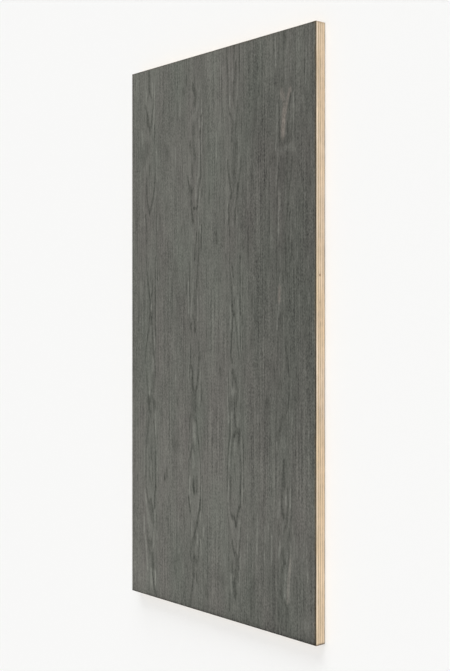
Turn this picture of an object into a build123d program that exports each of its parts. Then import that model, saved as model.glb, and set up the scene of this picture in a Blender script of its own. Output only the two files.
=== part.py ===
from build123d import *

import os
from itertools import accumulate

# Wood panel: a piece of veneered plywood sheet that lies flat with its decorative face up.
# Sizes are millimetres. X runs across the face grain, Y along it and Z up, and the origin is
# the middle of the underside.

# The sawn and sanded sheet
PANEL_LENGTH = 1220.0  # along the face grain
PANEL_WIDTH = 610.0  # across the face grain
ARRIS_RADIUS = 1.0  # every edge and corner is eased by hand sanding

# The lay-up, as pressed and sanded
VENEER_THICKNESS = 0.6  # the decorative leaves, one layer on each face
OUTER_PLY_THICKNESS = 4.4  # the long-grain ply under each layer of leaves
INNER_PLY_THICKNESS = 3.0  # the plies between those two, laid crosswise and lengthwise in turn
INNER_PLY_COUNT = 5  # odd, so that the lay-up is the same above and below its middle ply
LEAVES_PER_FACE = 4  # leaves of one flitch, laid side by side without turning them over

ACROSS = Vector(1, 0, 0)
UP = Vector(0, 0, 1)


def layer_thicknesses():
    """The thickness of every layer, from the back leaves up to the face leaves."""
    inner = [INNER_PLY_THICKNESS] * INNER_PLY_COUNT
    core = [OUTER_PLY_THICKNESS, *inner, OUTER_PLY_THICKNESS]
    return [VENEER_THICKNESS, *core, VENEER_THICKNESS]


def glue_lines():
    """The height of each glue line between two layers, and last that of the panel's face."""
    return list(accumulate(layer_thicknesses()))


def leaf_joints():
    """Where the joints between the leaves of one face lie across the panel."""
    leaf_width = PANEL_WIDTH / LEAVES_PER_FACE
    return [i * leaf_width - PANEL_WIDTH / 2 for i in range(1, LEAVES_PER_FACE)]


def eased_panel(thickness):
    """The finished panel's outer form: a sawn sheet with all of its edges rounded over."""
    sheet = Pos(0, 0, thickness / 2) * Box(PANEL_WIDTH, PANEL_LENGTH, thickness)
    return fillet(sheet.edges(), ARRIS_RADIUS)


def sliced(solid, direction, places):
    """The slices of a solid between planes square to a direction, in order along it.

    Neighbouring slices meet face to face, and their outer edges stay flush with each other.
    """
    slices = []
    for place in places:
        plane = Plane(origin=direction * place, z_dir=direction)
        slices.append(split(solid, plane, keep=Keep.BOTTOM).solid())
        solid = split(solid, plane, keep=Keep.TOP).solid()
    return [*slices, solid]


def numbered(name, solids):
    """The solids by node name, counted from one."""
    return {f"{name}_{i}": solid for i, solid in enumerate(solids, start=1)}


def panel_pieces():
    """Every piece of the panel by node name: two layers of leaves and the core plies between."""
    *inner_lines, thickness = glue_lines()
    back_layer, *core_plies, face_layer = sliced(eased_panel(thickness), UP, inner_lines)
    return {
        **numbered("back_leaf", sliced(back_layer, ACROSS, leaf_joints())),
        **numbered("core_ply", core_plies),
        **numbered("face_leaf", sliced(face_layer, ACROSS, leaf_joints())),
    }


os.makedirs("parts", exist_ok=True)
for node, piece in panel_pieces().items():
    export_step(piece, f"parts/{node}.step")
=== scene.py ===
"""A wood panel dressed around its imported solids.

A plywood panel lies flat with its decorative face up. Both faces carry sliced ash veneer, stained
charcoal and sealed matt, in four leaves each. The edges show the bare plies, and every arris is
eased by hand sanding. Lengths are in metres, and MM turns millimetres into them. On the face, u
runs from the left edge and v from the far end, both in millimetres.
"""

import logging
import math
from dataclasses import dataclass, field
from enum import Enum
from itertools import pairwise

import bpy
import numpy as np
from mathutils import Matrix, Vector


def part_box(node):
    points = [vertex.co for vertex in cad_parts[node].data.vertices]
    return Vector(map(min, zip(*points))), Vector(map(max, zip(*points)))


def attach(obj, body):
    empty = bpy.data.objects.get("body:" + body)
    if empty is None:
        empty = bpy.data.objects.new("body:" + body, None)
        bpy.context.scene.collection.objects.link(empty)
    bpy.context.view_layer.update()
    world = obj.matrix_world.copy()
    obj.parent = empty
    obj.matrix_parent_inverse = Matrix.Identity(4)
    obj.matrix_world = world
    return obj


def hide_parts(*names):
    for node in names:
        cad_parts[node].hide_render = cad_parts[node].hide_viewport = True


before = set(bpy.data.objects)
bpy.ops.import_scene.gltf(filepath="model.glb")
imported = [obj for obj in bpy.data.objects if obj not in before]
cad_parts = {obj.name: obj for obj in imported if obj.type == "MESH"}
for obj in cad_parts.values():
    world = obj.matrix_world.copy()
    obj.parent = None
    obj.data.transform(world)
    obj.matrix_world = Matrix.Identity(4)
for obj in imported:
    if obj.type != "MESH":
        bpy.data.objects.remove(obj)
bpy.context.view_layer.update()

LOG = logging.getLogger("wood_panel")
MM = 0.001
BODY = "root"
BAKE_MAP = "OFBake"
SHARP_TURN = math.radians(30)  # faces that meet at more than this are shaded apart
WOOD_IOR = 1.5  # of bare wood and of lacquer alike
MATH = "ShaderNodeMath"
VECTOR = "ShaderNodeVectorMath"
MIX = "ShaderNodeMix"
TIMES_PLUS = {"operation": "MULTIPLY_ADD"}
CLAMPED_TIMES = {"operation": "MULTIPLY", "use_clamp": True}

Array = np.ndarray
Socket = bpy.types.NodeSocket
Tree = bpy.types.NodeTree
Corner = tuple[int, float, float]  # a vertex and its place on the bake map


def linear(hex_colour: str) -> tuple[float, float, float, float]:
    """Turns an sRGB colour into the linear one that Blender's sockets hold.

    Args:
        hex_colour: the colour as "#rrggbb".

    Returns:
        Its red, green and blue in linear light, and an alpha of one.
    """
    parts = [int(hex_colour[i : i + 2], 16) / 255 for i in (1, 3, 5)]
    light = [c / 12.92 if c <= 0.04045 else ((c + 0.055) / 1.055) ** 2.4 for c in parts]
    return (*light, 1.0)


def add_node(
    tree: Tree,
    kind: str,
    settings: dict[str, object] | None = None,
    inputs: dict[str | int, object] | None = None,
    output: str | int = 0,
) -> Socket | None:
    """Adds one node with its settings, values and links.

    Args:
        tree: the node tree that gets it.
        kind: the node's type name.
        settings: the node's own properties.
        inputs: for each input by name or number, a value, or another node's output to link.
        output: which of the node's outputs is wanted.

    Returns:
        That output, or nothing from a node that ends its tree.
    """
    node = tree.nodes.new(kind)
    for name, value in (settings or {}).items():
        setattr(node, name, value)
    for name, value in (inputs or {}).items():
        if isinstance(value, Socket):
            tree.links.new(value, node.inputs[name])
        else:
            node.inputs[name].default_value = value
    return node.outputs[output] if node.outputs else None


def empty_material(name: str) -> tuple[bpy.types.Material, Tree]:
    """Makes a material with an empty node tree.

    Args:
        name: the material's name.

    Returns:
        The material and its tree.
    """
    material = bpy.data.materials.new(name)
    material.use_nodes = True
    material.node_tree.nodes.clear()
    return material, material.node_tree


def close_surface(tree: Tree, inputs: dict[str, object]) -> None:
    """Ends a material's tree in a shader with these inputs."""
    shader = add_node(tree, "ShaderNodeBsdfPrincipled", inputs=inputs)
    add_node(tree, "ShaderNodeOutputMaterial", inputs={"Surface": shader})


def eased(run: Array) -> Array:
    """Eases a run from 0 to 1 at both its ends."""
    return run * run * (3 - 2 * run)


def hump(distance: Array | float, width: Array | float) -> Array:
    """A smooth hump: 1 at no distance, and about a third of that at its width."""
    return np.exp(-((distance / width) ** 2))


def drift(x: Array, y: Array, cell: tuple[float, float], seed: int) -> Array:
    """Smooth seeded noise, for what nature leaves uneven.

    Args:
        x: places along one direction.
        y: places along the other, in the same shape.
        cell: how far apart its hills are along each.
        seed: which noise it is.

    Returns:
        A value from -1 to 1 at each place.
    """
    size = 257  # hills each way, before they repeat
    hills = np.random.default_rng(seed).uniform(-1, 1, (size, size))
    col, row = x / cell[0], y / cell[1]
    i, j = np.floor(col).astype(int), np.floor(row).astype(int)
    s, t = eased(col - i), eased(row - j)
    near, far = (
        hills[i % size, side % size] * (1 - s) + hills[(i + 1) % size, side % size] * s
        for side in (j, j + 1)
    )
    return near * (1 - t) + far * t


@dataclass(frozen=True)
class EasedSheet:
    """The outer form that all pieces share: flat faces, straight edges and eased arrises."""

    width: float = 610 * MM
    length: float = 1220 * MM
    thickness: float = 25 * MM
    arris: float = 1 * MM
    veneer: float = 0.6 * MM

    def reach(self, z: float) -> float:
        """How far the rim stands out, at a height, from where the faces begin to round over."""
        into = max(self.arris - z, z - (self.thickness - self.arris), 0.0)
        return math.sqrt(max(self.arris**2 - into**2, 0.0))

    def face_drop(self, out: Array) -> Array:
        """How far a face has fallen at each distance out from where it begins to round over."""
        return self.arris - np.sqrt(np.maximum(self.arris**2 - out**2, 0))

    @property
    def flat_half_width(self) -> float:
        """Half the width of the flat part of a face."""
        return self.width / 2 - self.arris

    @property
    def flat_half_length(self) -> float:
        """Half the length of the flat part of a face."""
        return self.length / 2 - self.arris

    @property
    def glue_height(self) -> float:
        """The height of the glue line under a face leaf."""
        return self.thickness - self.veneer


@dataclass
class Shell:
    """A closed mesh while it is made: its vertices with their values, and its faces."""

    name: str
    places: Array
    values: dict[str, Array]
    turned: bool = False  # each face the other way round
    faces: list[list[int]] = field(default_factory=list)
    corners: list[tuple[float, float]] = field(default_factory=list)

    def add(self, ring: list[Corner]) -> None:
        """Adds a face, without the corners whose vertex repeats."""
        kept = [corner for i, corner in enumerate(ring) if corner[0] != ring[i - 1][0]]
        if len(kept) > 2:
            kept = kept[::-1] if self.turned else kept
            self.faces.append([corner[0] for corner in kept])
            self.corners += [corner[1:] for corner in kept]

    def piece(self, material: bpy.types.Material, slot: str, node: str) -> bpy.types.Object:
        """Makes the shell a piece of the panel.

        Args:
            material: its finish.
            slot: the record's material slot of that finish. Not used.
            node: the CAD node that it stands for.

        Returns:
            The new object.
        """
        mesh = bpy.data.meshes.new(self.name)
        mesh.from_pydata(self.places.tolist(), [], self.faces)
        bake_map = mesh.uv_layers.new(name=BAKE_MAP)
        bake_map.data.foreach_set("uv", np.array(self.corners, dtype=np.float32).ravel())
        for value_name, values in self.values.items():
            layer = mesh.attributes.new(value_name, "FLOAT", "POINT")
            layer.data.foreach_set("value", values.astype(np.float32))
        mesh.polygons.foreach_set("use_smooth", np.ones(len(mesh.polygons), dtype=bool))
        mesh.set_sharp_from_angle(angle=SHARP_TURN)
        mesh.materials.append(material)
        mesh.validate()
        piece = bpy.data.objects.new(self.name, mesh)
        bpy.context.scene.collection.objects.link(piece)
        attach(piece, BODY)
        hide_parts(node)
        LOG.info("%s: %d faces for %s", self.name, len(mesh.polygons), node)
        return piece


@dataclass(frozen=True)
class Stroke:
    """A line or patch of the figure, drawn on the face.

    Its tone runs from -1, the darkest earlywood, to 1, the palest latewood.
    """

    width: float
    tone: float
    path: tuple[tuple[float, float], ...]

    def distance(self, u: Array, v: Array) -> Array:
        """How far each place is from the stroke's middle, in millimetres across the grain.

        Args:
            u: places across the face, in millimetres.
            v: places along it.

        Returns:
            The distances. Past a stroke's end they grow more slowly, as it fades along the grain.
        """
        slow = 0.42  # what a millimetre along the grain counts for
        tiny = 1e-9  # so that a stroke of no length divides by something
        nearest = np.full(u.shape, np.inf)
        for (u0, v0), (u1, v1) in pairwise(self.path):
            du, dv = u1 - u0, (v1 - v0) * slow
            pu, pv = u - u0, (v - v0) * slow
            along = np.clip((pu * du + pv * dv) / max(du * du + dv * dv, tiny), 0, 1)
            nearest = np.minimum(nearest, np.hypot(pu - along * du, pv - along * dv))
        return nearest

    def strength(self, distance: Array) -> Array:
        """How strongly the stroke marks each place.

        Args:
            distance: how far each is from the stroke's middle.

        Returns:
            From 0, untouched, to 1, the middle of the stroke.
        """
        # The photograph's blur widens every stroke, so it is drawn narrower than it looks
        half_strong_at = 0.42 * self.width - 0.35
        return 0.5 ** ((distance / half_strong_at) ** 3)

    @property
    def weight(self) -> float:
        """How much stronger it is drawn than its tone alone.

        At the photograph's scale of 3 mm to a pixel the finest lines blur, so they are drawn
        stronger. Broad dark ones are too, because their open pores lie side by side.
        """
        fine = 1 + 2.1 * math.exp(-self.width / 3)
        broad = 1 + 0.06 * max(self.width - 5, 0) if self.tone < 0 else 1.0
        return fine * broad


def strokes(*rows: tuple[float, ...]) -> tuple[Stroke, ...]:
    """Makes strokes from rows of a width, a tone, and each point's u and v in turn."""
    return tuple(Stroke(w, tone, tuple(zip(path[::2], path[1::2]))) for w, tone, *path in rows)


# The figure of the four face leaves, left to right. They are slices of one flitch, so the arched
# rings of one come back in the next, a little changed.
FIRST_LEAF = strokes(
    (9, -0.8, 66, 3, 67, 30, 68, 52), (5.5, -0.8, 61, 66, 64, 58, 68, 55, 73, 60, 77, 68),
    (15, 0.4, 68, 74, 69, 98), (7, 0.4, 70, 98, 70, 122), (5, -0.75, 51, 83, 56, 95, 59, 104),
    (8, -1.0, 59, 104, 61, 116, 64, 128), (7, -1.0, 64, 128, 68, 138, 72, 146),
    (5, -0.8, 79, 98, 77, 112, 75, 126, 72, 142), (3.5, -0.5, 83, 58, 84, 75, 82, 95),
    (3.5, 0.6, 79, 34, 79, 66), (4.5, 0.52, 87, 42, 87, 85, 84, 118, 81, 150),
    (4, 0.7, 56, 52, 57, 78), (4, -0.8, 87, 130, 88, 152, 87, 176), (5, -0.35, 48, 105, 49, 120),
    (8, 0.8, 39, 147, 40, 160, 41, 170), (7, -0.85, 61, 178, 61, 194),
    (16, -0.22, 52, 182, 50, 210), (5, 0.4, 57, 212, 58, 234), (7, -0.55, 68, 228, 67, 248),
    (6, 0.35, 80, 226, 80, 240), (5, 0.55, 95, 188, 96, 225, 97, 262),
    (5, -0.95, 56, 258, 57, 284, 60, 301, 64, 320, 68, 336),
    (5.5, -0.95, 90, 252, 88, 270, 83, 291, 77, 313, 72, 328, 68, 336),
    (3.5, -0.4, 90, 222, 91, 240, 90, 254), (7, 0.4, 93, 284, 86, 306, 80, 334),
    (4, 0.5, 45, 296, 44, 328), (3.5, 0.55, 48, 345, 48, 358), (4, -0.1, 49, 284, 52, 297),
    (5, -0.85, 53, 338, 55, 354), (5, -0.85, 56, 358, 57, 376, 57, 394),
    (3.5, 0.9, 98, 344, 99, 370), (6, -0.5, 107, 342, 107, 374), (3.5, -0.35, 95, 340, 95, 382),
    (3.5, -0.38, 57, 394, 56, 430, 57, 474), (4, -0.6, 57, 438, 57, 452),
    (6, -0.9, 59, 474, 62, 496, 65, 514), (6, -1.0, 65, 514, 68, 532, 71, 537),
    (4.5, -0.6, 80, 492, 79, 516, 74, 533), (13, 0.4, 75, 425, 76, 456), (5, 0.4, 72, 500, 72, 526),
    (4, -0.9, 91, 436, 91, 612), (4.5, -1.1, 91, 502, 91, 542), (3, 0.42, 95, 440, 95, 600),
    (3.5, 0.5, 103, 478, 103, 498), (4, -1.25, 99, 468, 99, 487), (4, -0.5, 107, 464, 107, 486),
    (4, -0.45, 37, 436, 37, 450), (4, -0.4, 41, 474, 41, 490), (4, -0.4, 49, 494, 49, 506),
    (9, 0.55, 35, 500, 36, 530), (5, 0.75, 76, 550, 76, 560), (6, -0.65, 71, 537, 69, 552, 71, 568),
    (6, -0.7, 71, 568, 80, 566), (4, -0.1, 80, 540, 82, 565, 78, 580),
    (6.5, -1.15, 76, 578, 76, 590), (6, -0.7, 70, 572, 66, 590, 64, 606),
    (5, -0.95, 64, 606, 60, 624, 55, 642, 52, 660, 52, 676),
    (5, -0.9, 78, 590, 79, 615, 82, 640, 85, 668, 89, 680), (4, -0.1, 90, 612, 91, 650, 91, 690),
    (5.5, -0.95, 91, 690, 91, 710), (5, 0.6, 72, 598, 71, 628), (4.5, 1.0, 87, 608, 87, 650),
    (9, 0.6, 82, 672, 80, 692), (10, 0.25, 70, 705, 67, 735), (8, 0.4, 67, 738, 68, 752),
    (13, -0.25, 84, 718, 82, 735), (5, -0.6, 90, 712, 84, 734, 76, 746, 71, 757),
    (5, -0.9, 55, 698, 57, 716, 60, 730, 62, 748), (10, -0.9, 63, 766, 68, 780, 70, 792),
    (8, -0.8, 72, 762, 84, 772, 88, 784), (6, -0.7, 88, 776, 89, 792), (7, -0.7, 64, 788, 74, 796),
    (4.5, 0.75, 91, 790, 91, 815, 92, 840), (6, -0.5, 66, 812, 62, 830, 59, 848, 57, 864),
    (4, -0.55, 57, 864, 53, 890, 54, 930, 54, 966), (4.5, 0.45, 48, 876, 48, 936),
    (4.5, 0.4, 60, 878, 60, 972), (4.5, -0.65, 84, 812, 88, 838, 89, 872),
    (5, -1.15, 91, 882, 91, 935, 91, 966), (5.5, -0.95, 90, 966, 88, 990, 88, 1012),
    (4.5, 0.35, 98, 892, 98, 924), (3.5, -0.4, 99, 842, 99, 862), (3.5, -0.45, 103, 940, 103, 962),
    (10, -0.45, 75, 856, 75, 892), (4.5, -0.6, 68, 896, 66, 930, 70, 958),
    (4, -0.6, 79, 904, 79, 948), (6, 0.35, 74, 914, 74, 938), (11, 0.3, 70, 978, 68, 990),
    (5, 0.65, 80, 985, 82, 1008), (5.5, -0.55, 56, 974, 59, 992, 63, 1001),
    (6, -1.0, 62, 1004, 67, 1006, 72, 1000), (7, -0.7, 70, 1006, 76, 1010, 81, 1022),
    (10, -0.6, 72, 1018, 80, 1032, 83, 1044), (7, 0.6, 50, 978, 55, 1006, 60, 1030),
    (12, 0.55, 62, 1040, 72, 1056), (9, 0.5, 78, 1060, 72, 1076), (7, 0.5, 88, 1020, 88, 1048),
    (4.5, -0.65, 95, 1030, 95, 1042), (7, 0.75, 46, 1042, 47, 1072),
    (6, 0.75, 51, 1082, 55, 1112, 59, 1142, 60, 1158), (4.5, -0.25, 54, 1036, 57, 1064, 59, 1080),
    (9, -0.95, 60, 1080, 63, 1094), (10, -0.65, 66, 1092, 74, 1096), (7, -0.55, 66, 1108, 70, 1122),
    (4.5, 0.8, 84, 1070, 83, 1102), (6, 0.75, 96, 1070, 96, 1082), (11, -0.8, 80, 1132, 81, 1152),
    (7.5, -0.95, 81, 1152, 80, 1172, 84, 1188), (5.5, -0.95, 84, 1188, 88, 1204, 92, 1218),
    (6.5, 0.9, 90, 1162, 91, 1188), (10, 0.85, 74, 1165, 76, 1196), (5, -0.6, 21, 416, 21, 430),
    (6, -0.5, 22, 816, 23, 824), (4, -0.5, 21, 945, 21, 954), (12, -0.35, 133, 202, 136, 206),
    (5, -0.5, 133, 318, 133, 330), (6, -1.1, 125, 936, 126, 942), (7, -1.05, 133, 924, 134, 932),
)
SECOND_LEAF = strokes(
    (6, -0.52, 204, 38, 205, 58), (7, -0.7, 193, 72, 196, 76), (6, -0.8, 233, 48, 232, 62),
    (9, -0.8, 227, 68, 234, 78), (7, -0.5, 240, 84, 235, 96, 231, 104),
    (4.5, -0.4, 172, 95, 172, 132), (6, 0.5, 181, 102, 181, 122),
    (10, 0.4, 230, 138, 238, 124, 247, 108), (5, 0.35, 247, 88, 253, 66, 256, 52),
    (5, 0.15, 223, 106, 225, 126), (4, -0.85, 221, 120, 223, 130),
    (11, -0.4, 228, 150, 229, 175, 230, 200), (11, -0.65, 232, 207, 234, 216),
    (5, -0.5, 232, 222, 233, 236), (6, -0.6, 218, 194, 220, 210), (5, -0.9, 226, 240, 227, 262),
    (10, 0.18, 216, 226, 215, 245, 217, 262), (5, -0.9, 210, 264, 214, 280, 217, 293),
    (9, -0.8, 217, 295, 222, 301), (6, -0.7, 222, 300, 228, 294), (7, -0.5, 218, 305, 220, 320),
    (7.5, -1.0, 222, 326, 224, 342, 227, 364), (5, 0.9, 250, 140, 249, 160),
    (6, 0.55, 247, 170, 249, 200, 249, 235, 247, 262, 243, 280), (9, 0.6, 240, 284, 238, 310),
    (4, -0.25, 254, 98, 254, 118), (4, -0.35, 256, 132, 254, 150, 254, 206),
    (4.5, -0.95, 254, 164, 254, 176), (4, -0.85, 254, 218, 254, 240, 255, 266),
    (5, -0.45, 254, 268, 250, 280, 247, 300, 245, 318), (6, -0.7, 245, 320, 244, 336),
    (3.5, -1.2, 229, 337, 236, 333, 245, 336), (3.5, 1.05, 258, 98, 258, 126),
    (3.5, 0.7, 258, 150, 258, 216), (4, 0.8, 261, 138, 261, 160),
    (3.5, -0.35, 264, 150, 264, 205, 265, 265), (6, 0.35, 256, 275, 253, 290, 252, 304),
    (4.5, 0.42, 251, 308, 248, 330, 247, 380), (5.5, -0.75, 259, 295, 259, 307),
    (4.5, -0.55, 284, 288, 283, 326), (4, -0.35, 188, 275, 196, 287), (6, 0.6, 165, 200, 167, 246),
    (9, 0.25, 154, 200, 154, 250), (8, 0.45, 222, 384, 228, 402), (4, 0.85, 254, 376, 254, 392),
    (4, -0.7, 250, 360, 251, 374), (4.5, -0.9, 258, 376, 257, 402, 257, 428),
    (5, -0.8, 240, 392, 239, 410, 235, 428), (7, -0.85, 235, 430, 234, 448),
    (5, -0.8, 248, 396, 248, 430), (6, -0.3, 252, 412, 252, 434), (4, -0.35, 197, 135, 199, 170),
    (5, -0.7, 198, 370, 200, 386), (4, -0.6, 187, 374, 188, 390),
    (5, -0.8, 247, 440, 245, 460, 244, 484), (7, -0.95, 242, 490, 241, 504),
    (5, 0.3, 223, 420, 223, 480), (5, 0.35, 227, 500, 230, 515),
    (5.5, 0.45, 225, 530, 221, 560, 220, 576), (4.5, -0.6, 216, 450, 216, 500, 217, 546),
    (5, -0.9, 216, 482, 216, 496), (4, 0.65, 212, 494, 213, 535, 213, 566),
    (4, 0.4, 198, 475, 198, 515), (5, -0.6, 205, 505, 205, 526), (13, -0.42, 235, 526, 234, 544),
    (5, -0.5, 233, 536, 233, 545), (5, -0.5, 239, 555, 240, 572), (7, -0.5, 228, 572, 232, 586),
    (9, -1.0, 234, 586, 235, 602), (4.5, -1.3, 222, 594, 222, 606),
    (5.5, 0.45, 243, 534, 245, 552, 244, 600), (4, 0.4, 255, 528, 256, 546),
    (4, -0.75, 282, 440, 282, 450), (14, -0.28, 163, 458, 167, 470), (5, -0.5, 165, 575, 167, 580),
    (5, -0.45, 275, 602, 275, 612), (10, 0.25, 237, 696, 235, 726), (4, -0.5, 223, 606, 223, 622),
    (4.5, 0.3, 216, 640, 215, 665, 212, 690, 212, 715), (5, -0.75, 221, 642, 219, 660, 218, 677),
    (5, -0.85, 218, 680, 223, 684, 227, 693, 227, 706), (5, -0.95, 217, 682, 216, 706),
    (4, 0.4, 221, 696, 221, 708), (7, -1.05, 226, 708, 227, 726, 230, 740),
    (5, -0.6, 247, 632, 248, 644), (5, -1.0, 250, 656, 248, 672, 247, 692),
    (7, -0.6, 252, 658, 253, 665), (6, -0.85, 247, 692, 245, 714, 242, 728, 236, 735),
    (5.5, -0.9, 237, 736, 237, 765, 237, 786), (14, -0.5, 229, 750, 228, 786),
    (5, -0.9, 226, 748, 226, 764), (5, 0.6, 254, 698, 252, 720, 252, 762),
    (4, -0.8, 257, 718, 257, 766), (8, -0.75, 172, 759, 172, 766), (5, 0.5, 166, 708, 166, 716),
    (6.5, -0.8, 217, 814, 218, 800, 220, 791, 227, 793, 234, 797, 239, 802, 242, 814),
    (13, 0.7, 233, 820, 233, 840), (4.5, -0.8, 216, 814, 216, 832, 213, 855, 212, 870),
    (4.5, -0.8, 213, 894, 212, 936), (4, -0.9, 211, 942, 211, 952),
    (6, -1.05, 242, 814, 244, 834, 248, 856), (4.5, -0.5, 248, 856, 251, 880, 254, 904, 254, 960),
    (6, -1.25, 254, 972, 251, 995, 247, 1010, 241, 1030, 237, 1045, 233, 1056),
    (4, -0.45, 257, 836, 258, 862), (4, -0.4, 261, 868, 261, 886), (4, -0.65, 260, 924, 261, 1002),
    (7, 0.6, 216, 934, 216, 960, 219, 984),
    (7, -0.6, 218, 886, 222, 868, 227, 856, 231, 862, 232, 872), (7, 0.5, 228, 878, 229, 904),
    (8, -1.6, 231, 936, 229, 946, 233, 958), (8, -0.85, 241, 928, 241, 954),
    (5.5, 0.5, 250, 890, 249, 930, 248, 975, 245, 996), (5, 0.35, 247, 962, 247, 990),
    (3.5, 0.45, 258, 930, 258, 980), (4, 0.5, 253, 1000, 254, 1016),
    (5.5, -1.2, 213, 974, 215, 990, 217, 1004), (7, 0.5, 222, 1032, 224, 1056),
    (4, -0.55, 219, 1028, 219, 1046), (8, -0.7, 232, 1057, 236, 1062),
    (11, -0.55, 227, 1068, 224, 1086), (7, 1.0, 243, 1054, 244, 1070),
    (6, 0.2, 240, 1080, 238, 1096), (5, -0.4, 251, 1054, 250, 1075, 248, 1095, 244, 1110),
    (8, -0.75, 231, 1101, 240, 1114), (5, 0.75, 254, 1062, 257, 1092),
    (6, 0.8, 264, 1036, 264, 1054), (5.5, -0.75, 218, 1092, 220, 1105, 225, 1116),
    (11, -0.65, 229, 1118, 229, 1136), (6, -0.9, 232, 1142, 228, 1158, 226, 1172),
    (5.5, -0.8, 240, 1138, 242, 1156), (10, 0.35, 234, 1158, 234, 1178),
    (6, -0.85, 226, 1172, 222, 1190, 217, 1216), (12, -0.42, 155, 862, 169, 866),
    (9, -0.3, 160, 848, 162, 854), (9, -0.4, 174, 1114, 160, 1130, 166, 1144),
    (6, 0.5, 186, 1076, 178, 1096), (10, -0.45, 272, 1168, 276, 1182),
)
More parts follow.
